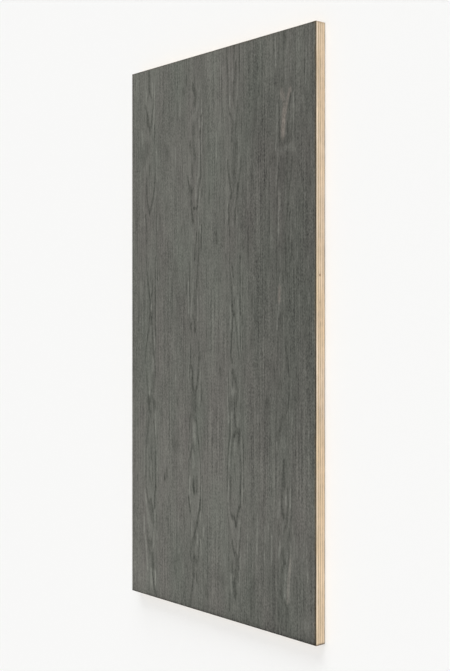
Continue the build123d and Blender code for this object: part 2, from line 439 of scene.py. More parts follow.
THIRD_LEAF = strokes(
    (7, -0.45, 342, 3, 341, 28), (4.5, -0.85, 343, 28, 345, 74),
    (4.5, -0.45, 345, 74, 346, 110, 348, 130, 351, 142, 356, 153, 363, 164),
    (7, 0.3, 350, 18, 351, 60, 352, 100), (6, 0.85, 352, 108, 352, 128), (9, -0.6, 365, 3, 366, 30),
    (8, -0.9, 371, 38, 371, 50), (4, 0.5, 371, 26, 367, 38),
    (9, -0.62, 371, 58, 366, 80, 364, 98, 366, 116), (6, 0.45, 360, 54, 360, 70),
    (5, 0.3, 377, 60, 377, 100, 375, 120, 371, 140, 366, 156), (5, 0.4, 374, 110, 373, 126),
    (4, -0.8, 383, 3, 383, 62), (3.5, 0.2, 387, 12, 387, 82),
    (5, -0.65, 377, 124, 376, 140, 373, 160, 371, 180, 370, 196), (5, -0.9, 374, 158, 374, 168),
    (5.5, 0.15, 347, 140, 351, 162, 352, 215, 351, 240, 352, 256, 356, 276, 362, 292),
    (4, 0.4, 351, 165, 351, 190), (6, -0.65, 360, 180, 359, 202), (5, -0.7, 363, 166, 362, 180),
    (18, -0.33, 367, 225, 367, 282), (7, -0.7, 374, 205, 374, 228), (6, -0.75, 364, 228, 364, 242),
    (7, -0.4, 361, 252, 368, 274),
    (5, 0.3, 381, 190, 382, 225, 381, 255, 377, 275, 372, 295, 368, 312),
    (5, -1.05, 346, 240, 347, 262, 350, 283, 355, 300, 357, 312, 355, 324),
    (5.5, -0.85, 388, 250, 386, 265, 381, 292), (6.5, -0.8, 381, 292, 377, 308, 374, 326),
    (5, -0.95, 374, 326, 371, 345, 368, 356), (7, -0.85, 368, 354, 369, 376),
    (4, -0.55, 389, 160, 390, 190), (4, -0.45, 405, 175, 405, 202), (5, -0.55, 405, 204, 408, 210),
    (12, 0.6, 318, 162, 318, 176), (6, 0.35, 319, 140, 319, 158), (5, 0.5, 308, 180, 308, 230),
    (4, 0.4, 341, 236, 341, 248), (5, -0.35, 331, 196, 331, 214), (6, -0.35, 323, 250, 324, 258),
    (4, 0.2, 347, 298, 348, 312), (4.5, 0.25, 367, 332, 368, 345), (6, 0.7, 361, 374, 361, 382),
    (5, 0.4, 361, 346, 361, 358), (4, 0.4, 421, 200, 421, 226), (5, 0.5, 409, 298, 409, 306),
    (6, -0.33, 432, 150, 431, 175, 428, 200), (5, -0.85, 442, 106, 443, 118),
    (4.5, -0.65, 318, 322, 318, 346), (4.5, 0.55, 344, 334, 344, 366),
    (5, -1.0, 348, 338, 349, 378), (5, -0.9, 351, 387, 351, 403), (4, -0.4, 335, 350, 335, 370),
    (5, 0.65, 376, 368, 375, 386), (7, -0.75, 308, 398, 309, 414),
    (5.5, -0.65, 411, 394, 411, 418, 410, 430, 410, 450), (4, -0.4, 338, 446, 338, 456),
    (4, -0.5, 342, 478, 342, 498), (5, -0.6, 341, 532, 342, 539), (4.5, -0.35, 322, 478, 322, 496),
    (5, -0.55, 352, 448, 350, 465, 352, 480, 356, 498),
    (6.5, -0.7, 356, 498, 358, 516, 360, 534, 361, 550), (5.5, -0.8, 361, 474, 364, 492),
    (5, 0.2, 357, 480, 361, 500, 366, 516), (7, 0.7, 366, 515, 367, 527),
    (6, 0.5, 353, 545, 355, 575, 354, 602), (7, -1.1, 361, 554, 362, 568),
    (7, -1.0, 362, 568, 368, 573), (5.5, -1.1, 362, 578, 361, 600, 358, 615, 357, 635, 356, 650),
    (6, -0.85, 355, 650, 355, 662, 360, 670),
    (5, -0.75, 370, 576, 373, 595, 375, 610, 377, 630, 379, 645, 382, 660),
    (5, -0.6, 374, 598, 375, 608), (5, -0.5, 368, 536, 368, 544),
    (6.5, 0.52, 378, 545, 378, 572, 379, 592), (4.5, 0.55, 380, 592, 382, 620, 384, 652),
    (6.5, 0.7, 366, 584, 366, 606), (14, 0.15, 366, 620, 366, 648),
    (4.5, -0.8, 385, 448, 384, 475, 386, 510), (5, -0.95, 384, 530, 385, 548, 386, 572),
    (3, 0.3, 390, 455, 390, 530), (3.5, 0.25, 396, 545, 396, 570), (3.5, 0.55, 390, 600, 390, 650),
    (4, -0.5, 393, 485, 393, 526), (4.5, -0.65, 393, 574, 393, 592),
    (3.5, -0.6, 387, 600, 387, 646), (4, -0.55, 394, 610, 394, 642), (4, -0.5, 396, 655, 396, 666),
    (4, -0.45, 399, 680, 399, 692), (11, -0.4, 421, 618, 421, 632), (7, -0.3, 423, 540, 423, 560),
    (6, -0.38, 315, 636, 316, 644), (8, -0.55, 321, 688, 322, 698), (4, -0.45, 347, 690, 347, 732),
    (4.5, -0.6, 350, 750, 352, 785, 352, 812), (6, 0.35, 353, 690, 353, 722),
    (4.5, 0.5, 343, 705, 344, 740, 346, 775, 348, 796), (5, 0.7, 348, 782, 348, 798),
    (8, -0.9, 361, 693, 364, 702, 371, 709), (5, -0.7, 361, 710, 361, 724),
    (5, -0.5, 371, 709, 376, 702), (10, 0.6, 359, 730, 364, 736),
    (8, -0.65, 373, 720, 378, 734, 375, 746), (7, -0.65, 367, 746, 367, 770),
    (6, -0.85, 374, 753, 374, 762), (9, -0.2, 357, 756, 357, 766),
    (4.5, 0.4, 383, 700, 384, 745, 383, 792), (4, -0.4, 387, 754, 387, 772),
    (8, 0.8, 358, 786, 357, 812), (6.5, -0.8, 368, 783, 369, 800, 371, 814),
    (5.5, -0.9, 353, 800, 351, 835, 348, 855, 348, 868), (7, 0.4, 377, 790, 376, 802),
    (4, 0.5, 440, 778, 440, 804), (6, -0.4, 445, 798, 445, 806),
    (4.5, -0.8, 347, 868, 344, 890, 344, 932, 343, 950),
    (5, -0.4, 344, 978, 346, 1000, 350, 1018, 354, 1035, 359, 1053),
    (5.5, -1.1, 359, 1052, 361, 1064, 368, 1076), (5, 0.65, 358, 815, 355, 840, 352, 870, 350, 896),
    (5.5, 0.75, 348, 930, 347, 968), (9, 0.45, 350, 985, 355, 1010, 363, 1030),
    (18, 0.2, 366, 1032, 374, 1052), (9, 0.6, 384, 1012, 380, 1040),
    (6, 0.75, 377, 1060, 376, 1076), (6.5, -0.85, 358, 866, 361, 842, 364, 828, 370, 819),
    (8, -0.8, 370, 818, 375, 814, 382, 820), (9, -0.9, 381, 820, 381, 838),
    (8, -0.3, 381, 838, 380, 858), (10, 0.45, 370, 842, 370, 858),
    (4.5, -0.15, 357, 866, 354, 890, 354, 920), (5.5, -0.95, 354, 922, 354, 960),
    (4.5, -0.75, 354, 960, 355, 992),
    (6, -1.05, 356, 996, 362, 1001, 368, 1004, 371, 1012, 375, 1005),
    (6, -1.25, 375, 1005, 377, 990, 381, 982, 386, 974), (4.5, -0.95, 386, 868, 388, 890, 387, 920),
    (5.5, -1.6, 387, 918, 386, 950, 386, 970),
    (4.5, 0.6, 390, 820, 390, 850, 391, 880, 393, 910, 392, 945, 391, 972),
    (4, -0.55, 393, 830, 395, 850, 396, 890, 396, 934), (5, -0.75, 396, 948, 396, 962),
    (3.5, -0.4, 402, 856, 402, 876), (3.5, -0.4, 402, 938, 402, 962),
    (4, -0.65, 368, 884, 368, 902), (4, -0.35, 389, 1000, 388, 1016),
    (5.5, -0.85, 387, 1024, 387, 1036), (5, -0.65, 386, 1040, 383, 1062, 381, 1080),
    (6.5, -0.55, 372, 1080, 378, 1085, 382, 1078), (11, -0.6, 376, 1090, 377, 1102),
    (8, -0.75, 361, 1098, 361, 1116), (5.5, -0.95, 371, 1112, 372, 1130),
    (6, -0.65, 378, 1122, 379, 1134), (12, -1.05, 366, 1142, 368, 1162),
    (7, 0.65, 356, 1128, 358, 1156), (4.5, 0.7, 386, 1074, 386, 1104),
    (7, 0.68, 383, 1116, 381, 1156), (6, -0.7, 352, 1162, 351, 1192),
    (7, 0.6, 440, 988, 439, 1030, 438, 1062), (4.5, 0.65, 409, 1034, 409, 1064),
    (8, 0.4, 335, 1088, 336, 1106), (24, 0.22, 406, 1040, 403, 1090),
    (5, 0.6, 399, 1076, 399, 1090), (16, -0.4, 424, 1130, 420, 1160, 423, 1184),
    (5, -0.35, 427, 992, 428, 1012), (10, -0.3, 329, 1142, 331, 1150),
    (9, -0.3, 454, 962, 455, 980),
)
FOURTH_LEAF = strokes(
    (4.5, 0.85, 493, 12, 494, 66), (4.5, -0.6, 488, 6, 488, 38), (12, -0.45, 519, 6, 520, 26),
    (4.5, -0.55, 517, 46, 517, 56), (4.5, -0.5, 503, 42, 503, 54),
    (5, 0.4, 528, 30, 524, 60, 523, 85, 523, 108), (4, 0.4, 538, 56, 538, 88),
    (8, -0.55, 512, 98, 512, 116), (4, -0.4, 541, 102, 541, 114),
    (6, -0.65, 537, 137, 533, 155, 531, 176, 528, 198), (7, -0.5, 530, 206, 531, 222),
    (10, -0.38, 510, 222, 524, 220), (5, -1.2, 503, 142, 505, 160), (4.5, -0.8, 505, 160, 505, 198),
    (5.5, -0.95, 506, 198, 505, 226), (5, 0.65, 498, 150, 498, 190, 496, 210, 494, 232),
    (4.5, 0.65, 501, 238, 499, 262, 497, 286, 496, 310), (4, 0.4, 538, 150, 538, 200),
    (4.5, 0.8, 545, 134, 546, 160, 546, 190), (4.5, 0.5, 545, 190, 544, 232),
    (3.5, -0.5, 541, 188, 541, 226), (4, -0.65, 549, 136, 549, 150), (6, 0.85, 510, 240, 510, 246),
    (6, 0.6, 521, 241, 526, 232), (6, 0.75, 534, 236, 537, 239), (6, 0.85, 543, 238, 545, 242),
    (5, 0.5, 550, 238, 551, 242), (10, -0.5, 528, 246, 528, 266), (7, -0.35, 511, 258, 517, 262),
    (13, -0.3, 488, 250, 492, 262), (5, -0.7, 479, 254, 479, 266),
    (5, -0.5, 516, 275, 522, 284, 527, 291), (8, -0.38, 526, 298, 526, 312),
    (5, -0.75, 503, 270, 503, 294), (5, -0.55, 542, 260, 540, 285, 536, 305, 532, 330),
    (5.5, -0.75, 532, 330, 531, 346, 528, 364), (5, -0.45, 526, 370, 523, 398),
    (4.5, -0.7, 499, 302, 498, 330, 497, 365, 497, 470), (4, -0.9, 497, 470, 497, 548),
    (9, 0.8, 505, 326, 506, 356), (4.5, 0.8, 503, 362, 503, 415), (4.5, -0.95, 535, 372, 535, 386),
    (5, 0.6, 551, 380, 551, 398), (4.5, 0.35, 557, 340, 557, 366), (5, -0.35, 562, 348, 562, 362),
    (4.5, 0.6, 582, 48, 582, 76), (5, 0.65, 581, 82, 580, 126), (4, 0.35, 587, 108, 587, 132),
    (4.5, -1.0, 577, 70, 577, 96), (10, 0.3, 592, 184, 592, 202), (6, -0.38, 573, 194, 573, 206),
    (4.5, -0.45, 589, 232, 589, 248), (4, -0.5, 476, 340, 476, 406), (8, -0.5, 592, 314, 592, 328),
    (10, 0.35, 482, 412, 482, 430), (5, -0.5, 474, 424, 473, 476), (5, 0.45, 508, 440, 508, 472),
    (5, 0.55, 508, 488, 506, 512), (10, 0.75, 506, 520, 505, 542),
    (5, 0.65, 505, 546, 502, 570, 499, 588, 498, 602), (5, -0.5, 516, 486, 516, 504),
    (7, -0.55, 514, 566, 509, 576, 505, 584), (5, -0.65, 511, 583, 512, 593),
    (5, -0.4, 503, 592, 503, 602), (4, 0.25, 517, 576, 518, 598),
    (5.5, -0.6, 522, 407, 523, 450, 524, 492), (5, -0.4, 529, 494, 529, 506),
    (5, -0.9, 532, 415, 532, 442), (5.5, -0.8, 541, 430, 541, 450), (5.5, -0.5, 541, 450, 536, 465),
    (4, 0.45, 538, 408, 538, 426), (6, 0.4, 557, 450, 557, 460), (5, 0.35, 588, 458, 589, 480),
    (4.5, -0.5, 500, 620, 500, 642), (5, -0.45, 497, 664, 497, 690),
    (5.5, -0.65, 526, 620, 524, 634, 525, 646), (6, -0.85, 525, 646, 528, 658, 530, 670, 532, 684),
    (4.5, -0.6, 532, 684, 535, 700, 535, 730, 532, 750, 528, 763, 521, 776),
    (6, -0.85, 514, 776, 512, 780), (7, -0.65, 511, 790, 509, 802, 502, 812),
    (6, 0.1, 520, 655, 518, 672, 512, 692), (5, 0.33, 530, 735, 528, 748),
    (4.5, 0.45, 538, 706, 538, 730), (12, -0.35, 502, 710, 509, 716),
    (5, -0.55, 489, 680, 492, 706), (11, -0.5, 465, 756, 470, 750), (6, -0.42, 555, 676, 553, 700),
    (13, -0.42, 553, 736, 557, 740), (4, -0.45, 540, 748, 540, 762), (4, 0.5, 543, 768, 543, 794),
    (6, 0.4, 536, 764, 536, 776), (5, 0.45, 527, 780, 527, 790), (10, 0.5, 560, 786, 561, 796),
    (4.5, -0.45, 494, 788, 494, 802), (7, 1.15, 589, 536, 589, 546), (12, 0.3, 565, 540, 565, 552),
    (5, -0.4, 578, 612, 578, 622), (4.5, -0.55, 502, 814, 501, 835, 499, 852),
    (5, 0.95, 498, 828, 497, 842), (6, 0.4, 515, 820, 515, 834, 519, 846, 526, 836),
    (24, 0.3, 515, 840, 516, 855), (8, -0.95, 518, 869, 518, 888, 519, 908, 520, 916),
    (7, -0.35, 523, 870, 526, 884), (9, -0.6, 514, 896, 514, 930),
    (6, -0.75, 513, 934, 512, 955, 514, 970, 518, 982), (5.5, 0.9, 524, 941, 524, 950),
    (6, 0.1, 517, 958, 521, 968, 526, 960), (5, -0.7, 529, 922, 531, 950, 529, 970, 525, 986),
    (5, -0.6, 528, 984, 524, 1000, 520, 1012), (8, 0.65, 504, 955, 502, 978),
    (5.5, 0.3, 535, 880, 536, 900, 537, 926), (6.5, 0.85, 537, 924, 536, 956),
    (5.5, 0.25, 535, 956, 534, 992), (4, -0.6, 541, 918, 541, 976),
    (5, -0.6, 540, 978, 535, 1006, 533, 1018), (8, -0.6, 503, 1004, 504, 1011),
    (5, 0.38, 517, 996, 513, 1016), (5, 0.38, 531, 998, 527, 1016), (4, 0.38, 544, 998, 543, 1012),
    (7, 0.75, 508, 1034, 505, 1050, 503, 1062), (7, -0.75, 514, 1050, 517, 1062, 520, 1073),
    (5.5, -0.85, 513, 1080, 514, 1090), (5, 0.8, 528, 1048, 527, 1070),
    (5, 1.05, 539, 1028, 538, 1052), (9.5, 1.15, 538, 1064, 536, 1085, 532, 1108, 530, 1144),
    (9, 1.05, 520, 1124, 521, 1140), (6, 0.75, 525, 1088, 523, 1104),
    (4.5, 0.6, 548, 1022, 547, 1058), (4, 0.65, 575, 1022, 575, 1056),
    (6, 0.7, 482, 1028, 482, 1076), (5, 0.45, 460, 1062, 461, 1082),
    (4.5, 0.75, 585, 1058, 586, 1096), (5, 0.55, 583, 1026, 583, 1044),
    (5, 0.5, 556, 1032, 556, 1052), (7, 0.3, 472, 1004, 472, 1036),
    (26, 0.27, 572, 1030, 574, 1080), (7, 0.5, 462, 1008, 462, 1036),
    (10, -0.5, 508, 1130, 512, 1134), (8, -0.6, 503, 1160, 504, 1186),
    (8, -0.55, 522, 1146, 526, 1162, 525, 1200), (5, -0.15, 532, 1162, 532, 1186),
    (5, -0.4, 545, 1112, 545, 1130), (5, -0.38, 476, 1112, 476, 1124),
    (7, 0.65, 578, 1176, 578, 1198), (7, 0.65, 588, 1178, 587, 1196),
)
FIGURE: tuple[tuple[Stroke, ...], ...] = (FIRST_LEAF, SECOND_LEAF, THIRD_LEAF, FOURTH_LEAF)

# Where the stain took less and the wood's own beige comes through
BARE_WOOD = strokes(
    (10, 0.46, 512, 126, 518, 136, 521, 152), (7, 0.62, 538, 122, 532, 132, 528, 146, 525, 164),
    (14, 0.8, 520, 164, 518, 182, 516, 204), (9, 0.7, 506, 522, 505, 541),
    (8, 0.35, 538, 1064, 536, 1085, 532, 1108, 530, 1144), (5, 0.25, 503, 330, 505, 356),
    (3, 0.8, 603, 1177, 603, 1181),
)


class Side(Enum):
    """A face of the panel."""

    FACE = "face"
    BACK = "back"


@dataclass(frozen=True)
class Flitch:
    """The run of slices that a layer's leaves come from, and how their figure falls on it."""

    figure: tuple[tuple[Stroke, ...], ...]
    bare: tuple[Stroke, ...]
    seed: int
    # All in millimetres
    width: float = 610.0  # of the face
    length: float = 1220.0
    shift: float = 0.7  # of the whole figure to the right
    wander: float = 0.6  # of its lines across the grain
    fray: float = 5.0  # of its lines' ends along the grain
    calm_reach: float = 4.0  # how far round a stroke the grain is calmest
    calm_fade: float = 9.0  # and how much further that fades

    def marks(self, leaf: int, u: Array, v: Array) -> tuple[Array, Array]:
        """The figure on one leaf.

        Args:
            leaf: which leaf, from 0.
            u: places across the face, in millimetres.
            v: places along it.

        Returns:
            Its tone from about -1, darkest, to 1, palest, and how near it is, from 0 to 1.
        """
        bent_u = u - self.shift + self.wander * drift(u, v, (16, 42), self.seed)
        bent_u = bent_u + self.wander * drift(u, v, (5, 13), self.seed + 1)
        bent_v = v + self.fray * drift(u, v, (4, 60), self.seed + 2)
        dark, light = np.zeros(u.shape), np.zeros(u.shape)
        nearest = np.full(u.shape, np.inf)
        for stroke in self.figure[leaf]:
            distance = stroke.distance(bent_u, bent_v)
            nearest = np.minimum(nearest, distance)
            layer = dark if stroke.tone < 0 else light
            mark = abs(stroke.tone) * stroke.weight * stroke.strength(distance)
            np.maximum(layer, mark, out=layer)
        tone = light - dark
        # Faint dark strokes show more readily than faint pale ones
        tone = np.sign(tone) * np.abs(tone) ** np.where(tone > 0, 1.1, 0.8)
        broken = 0.9 + 0.4 * drift(u, v, (4, 16), self.seed + 3)
        return tone * broken, hump(np.maximum(nearest - self.calm_reach, 0), self.calm_fade)

    def stain_and_painted_shade(self, u: Array, v: Array) -> Array:
        """How much light the stained wood gives back.

        The right-hand leaves are darker, a painted shade of the light falling off across the face,
        except near both ends and in a band that was wiped drier at three quarters of the length.
        The near left corner is worn a little paler.

        Args:
            u: places across the face, in millimetres.
            v: places along it.

        Returns:
            A tone for each place, about 1.
        """
        near, right_in = self.length - v, self.width - u
        # Each band of the face fades from its middle over the width given here
        left, inner_left, right = hump(u, 110), hump(u - 170, 70), hump(right_in, 80)
        far_end, wiped, worn = hump(v, 120), hump(v - 955, 115), hump(v - 1180, 90)
        near_end = hump(near, 150)
        # Painted shade: the right-hand leaves are drawn darker, as the light falls off across the
        # face
        right_shade = 0.21 * eased(np.clip((u - 330) / 140, 0, 1))
        tone = 1.12 - right_shade * (1 - 0.55 * wiped - 0.6 * far_end - 0.4 * near_end)
        tone += wiped * (0.075 + 0.04 * inner_left) + 0.03 * far_end
        tone += left * (0.01 + 0.22 * worn + 0.1 * far_end)
        # and more painted shade along the right-hand edge
        tone -= right * (0.05 + 0.04 * wiped + 0.03 * near_end)
        # The face is darker beside three of its arrises; along the near end this is painted shade
        rims = ((near, 0.19, 20), (near, 0.44, 4), (v, 0.26, 2.5), (u, 0.2, 4))
        for inside, depth, width in rims:
            tone -= depth * hump(inside, width)
        return tone + 0.025 * drift(u, v, (110, 260), self.seed + 11)

    def unstained(self, u: Array, v: Array) -> Array:
        """How far the wood's own colour shows.

        Args:
            u: places across the face, in millimetres.
            v: places along it.

        Returns:
            From 0 to 1 for each place.
        """
        shows = np.zeros(u.shape)
        for stroke in self.bare:
            shows = np.maximum(shows, stroke.tone * stroke.strength(stroke.distance(u, v)))
        return shows


@dataclass(frozen=True)
class Grain:
    """One scale of the wood's pattern."""

    across: float  # of a streak, in millimetres
    along: float
    contrast: float  # how much it changes the tone
    shift: float  # in streaks, so that no two scales fall together
    detail: float = 1.0  # finer noise laid over the first

    def noise(self, tree: Tree, place: Socket, lengthwise: bool) -> Socket:
        """Draws the streaks.

        Args:
            tree: the material's tree.
            place: the coordinates that they follow, in metres.
            lengthwise: whether they run along Y, or else along X.

        Returns:
            Their tone, from 0 to 1.
        """
        thin, long = 1 / (self.across * MM), 1 / (self.along * MM)
        scale = (thin, long, thin) if lengthwise else (long, thin, thin)
        moved = (self.shift, -self.shift, self.shift / 2)
        scaled = add_node(tree, VECTOR, TIMES_PLUS, {0: place, 1: scale, 2: moved})
        noise = {"Vector": scaled, "Scale": 1.0, "Detail": self.detail}
        return add_node(tree, "ShaderNodeTexNoise", inputs=noise)


class WoodSurface:
    """A wood material while it is made: what both finishes draw alike."""

    def __init__(self, name: str, lengthwise: bool, carried: tuple[str, ...]) -> None:
        """Starts an empty material.

        Args:
            name: the material's name.
            lengthwise: whether its fibres run along Y, or else along X.
            carried: the names of the values that its mesh's vertices carry.
        """
        self.material, self.tree = empty_material(name)
        self.lengthwise = lengthwise
        self.place = add_node(self.tree, "ShaderNodeTexCoord", output="Object")
        self.values = [
            add_node(self.tree, "ShaderNodeAttribute", {"attribute_name": value}, output="Fac")
            for value in carried
        ]

    def streaked(self, level: Socket, grains: tuple[Grain, ...]) -> Socket:
        """Raises and lowers a tone by each scale of streaks.

        Args:
            level: the tone without them.
            grains: their scales.

        Returns:
            The uneven tone.
        """
        half = sum(grain.contrast for grain in grains) / 2
        level = add_node(self.tree, MATH, {"operation": "SUBTRACT"}, {0: level, 1: half})
        for grain in grains:
            streaks = grain.noise(self.tree, self.place, self.lengthwise)
            level = add_node(self.tree, MATH, TIMES_PLUS, {0: streaks, 1: grain.contrast, 2: level})
        return level

    def showing(self, grain: Grain, span: tuple[float, float]) -> Socket:
        """Where a pattern shows.

        Args:
            grain: its scale.
            span: the levels of its noise at which it begins to show and shows fully.

        Returns:
            From 0 to 1.
        """
        noise = grain.noise(self.tree, self.place, self.lengthwise)
        limits = {"Value": noise, "From Min": span[0], "From Max": span[1]}
        return add_node(self.tree, "ShaderNodeMapRange", inputs=limits)

    def coloured(self, base: str, coats: tuple[tuple[Socket, str], ...], tone: Socket) -> Socket:
        """Lays colours over one another and shades them.

        Args:
            base: the lowest one.
            coats: how far each next one covers, from 0 to 1, and the colour.
            tone: how bright the wood is.

        Returns:
            The wood's colour.
        """
        colour = linear(base)
        for cover, coat in coats:
            mixed = {0: cover, 6: colour, 7: linear(coat)}
            colour = add_node(self.tree, MIX, {"data_type": "RGBA"}, mixed, 2)
        shaded = {0: colour, "Scale": tone}
        return add_node(self.tree, VECTOR, {"operation": "SCALE"}, shaded)


@dataclass(frozen=True)
class StainedAshVeneer:
    """Flat-sliced ash veneer, stained charcoal and sealed with matt lacquer.

    The stain sits deepest in the open pores of the earlywood, so the rings and the fine dashes
    between them show darker than the dense wood. The thin sealer leaves a dull sheen, a little
    duller in the pores. Stain and grime have gathered on the sanded arrises, which are browner.
    """

    name: str = "stained_ash_veneer"
    green_grey: str = "#60625b"
    brown_grey: str = "#62605b"
    ring: str = "#373933"
    dense: str = "#8d8e86"
    own_wood: str = "#837c74"
    arris_brown: str = "#52442c"
    roughness: float = 0.68  # matt lacquer
    pore_roughness: float = 0.14  # more, where a pore is open
    specular: float = 0.3  # lacquer's reflection, dulled by the open grain
    pore_depth: float = 0.08 * MM
    relief: float = 0.5  # how much of that depth the lacquer leaves
    # Ash pores are 0.2 to 0.4 mm across. They are drawn about three times as coarse, and the
    # streaks that they gather into 3 mm wide, or the photograph's scale of 3 mm to a pixel would
    # lose them.
    pores: Grain = Grain(0.9, 12, 0.3, 3.1)
    speckle: Grain = Grain(2.8, 4.6, 1.27, 1.7)
    grains: tuple[Grain, ...] = (
        Grain(2.6, 26, 0.6, 7.3),
        Grain(3.2, 260, 1.1, 14.6),
        Grain(12, 50, 0.46, 21.9),
        Grain(34, 170, 0.4, 29.2),
    )
    patches: Grain = Grain(60, 240, 1.0, 11.9)
    # From where on in their noise the pores and the browner patches begin to show, and show fully
    pore_span: tuple[float, float] = (0.56, 0.72)
    patch_span: tuple[float, float] = (0.27, 0.73)
    calm: float = 0.4  # how much fainter the streaks are beside the figure
    pale_stroke: float = 0.42  # how far a pale stroke of tone 1 covers
    dark_stroke: float = 0.82  # and a dark one of tone -1, in the darkest speckle
    speckle_lifts: float = 0.6  # how much less it covers in the palest one
    pores_deepen: float = 0.22  # how much more in open pores

    def build(self) -> bpy.types.Material:
        """Makes the material.

        Returns:
            The finish of all eight leaves.
        """
        wood = WoodSurface(self.name, True, ("figure", "near", "bare", "arris", "tone"))
        tree, (figure, near, bare, arris, tone) = wood.tree, wood.values
        speckles, contrast = self.speckle.noise(tree, wood.place, True), self.speckle.contrast
        grain = add_node(tree, MATH, TIMES_PLUS, {0: speckles, 1: contrast, 2: -contrast / 2})
        grain = wood.streaked(grain, self.grains)
        calmer = add_node(tree, MATH, TIMES_PLUS, {0: near, 1: -self.calm, 2: 1.0})
        grain = add_node(tree, MATH, TIMES_PLUS, {0: grain, 1: calmer, 2: tone})
        pores = wood.showing(self.pores, self.pore_span)
        grain = add_node(tree, MATH, TIMES_PLUS, {0: pores, 1: -self.pores.contrast, 2: grain})
        # Rings are rows of pores: dark strokes come and go with them. A dark stroke's tone is
        # negative, and so is what it is multiplied by.
        ring = {0: speckles, 1: self.speckle_lifts, 2: -self.dark_stroke}
        ring = {0: pores, 1: -self.pores_deepen, 2: add_node(tree, MATH, TIMES_PLUS, ring)}
        ring = add_node(tree, MATH, TIMES_PLUS, ring)
        coats = (
            (wood.showing(self.patches, self.patch_span), self.brown_grey),
            (add_node(tree, MATH, CLAMPED_TIMES, {0: figure, 1: self.pale_stroke}), self.dense),
            (add_node(tree, MATH, CLAMPED_TIMES, {0: figure, 1: ring}), self.ring),
            (bare, self.own_wood),
            (arris, self.arris_brown),
        )
        dull = {0: pores, 1: self.pore_roughness, 2: self.roughness}
        sunk = {"Strength": self.relief, "Distance": self.pore_depth, "Height": pores}
        shader = {
            "Base Color": wood.coloured(self.green_grey, coats, grain),
            "Roughness": add_node(tree, MATH, TIMES_PLUS, dull),
            "IOR": WOOD_IOR,
            "Specular IOR Level": self.specular,
            "Normal": add_node(tree, "ShaderNodeBump", {"invert": True}, sunk),
        }
        close_surface(tree, shader)
        return wood.material


class GrainWay(Enum):
    """The way that a ply's fibres run."""

    LENGTHWISE = "long"
    CROSSWISE = "cross"


@dataclass(frozen=True)
class SandedPlyEdge:
    """A rotary-peeled birch ply, sawn through and sanded, and left bare.

    Where its fibres lie along the edge it is pale and shows thin long streaks. Where they are cut
    across, their open ends drink light and look darker and speckled. Glue lines are thin and brown.
    """

    way: GrainWay
    long_face: str = "#e4d2bb"
    cut_ends: str = "#c9b091"
    yellow: str = "#e4cca8"
    glue_brown: str = "#927552"
    knot_brown: str = "#6d4c30"
    stain_and_shade_brown: str = "#463d30"
    roughness: float = 0.72  # bare sanded wood
    specular: float = 0.3  # dry fibres reflect little
    mark_depth: float = 0.1 * MM
    relief: float = 0.4  # how much of that depth the sanding leaves
    # Birch fibres are finer than can be seen: drawn 0.5 mm apart, as sanding marks group them
    grains: tuple[Grain, ...] = (
        Grain(0.5, 14, 0.3, 5.7),
        Grain(1.6, 40, 0.35, 11.4),
        Grain(14, 110, 0.6, 17.1),
    )
    patches: Grain = Grain(35, 130, 1.0, 2.9)
    patch_span: tuple[float, float] = (0.4, 0.75)

    def build(self) -> bpy.types.Material:
        """Makes the material.

        Returns:
            The finish of the plies whose fibres run this way.
        """
        name, lengthwise = f"birch_ply_{self.way.value}_grain", self.way is GrainWay.LENGTHWISE
        wood = WoodSurface(name, lengthwise, ("cut_across", "glue", "knot", "arris", "tone"))
        cut, glue, knot, arris, tone = wood.values
        grain = wood.streaked(tone, self.grains)
        coats = (
            (wood.showing(self.patches, self.patch_span), self.yellow),
            (cut, self.cut_ends),
            (glue, self.glue_brown),
            (knot, self.knot_brown),
        )
        bare = wood.coloured(self.long_face, coats, grain)
        # The brown over the arrises is the faces' stain creeping round them, and painted shade at
        # the panel's corners
        stained = {0: arris, 6: bare, 7: linear(self.stain_and_shade_brown)}
        marks = {"Strength": self.relief, "Distance": self.mark_depth, "Height": grain}
        shader = {
            "Base Color": add_node(wood.tree, MIX, {"data_type": "RGBA"}, stained, 2),
            "Roughness": self.roughness,
            "IOR": WOOD_IOR,
            "Specular IOR Level": self.specular,
            "Normal": add_node(wood.tree, "ShaderNodeBump", inputs=marks),
        }
        close_surface(wood.tree, shader)
        return wood.material


def progress(line: Array, heights: Array) -> Array:
    """How far along a grid line each of its points is, from 0 to 1."""
    way = np.concatenate([[0], np.cumsum(np.hypot(np.diff(line), np.diff(heights)))])
    return way / way[-1]


def between(ends: tuple[float, float], share: Array) -> Array:
    """Places at a share of the way between two ends."""
    return ends[0] + (ends[1] - ends[0]) * share


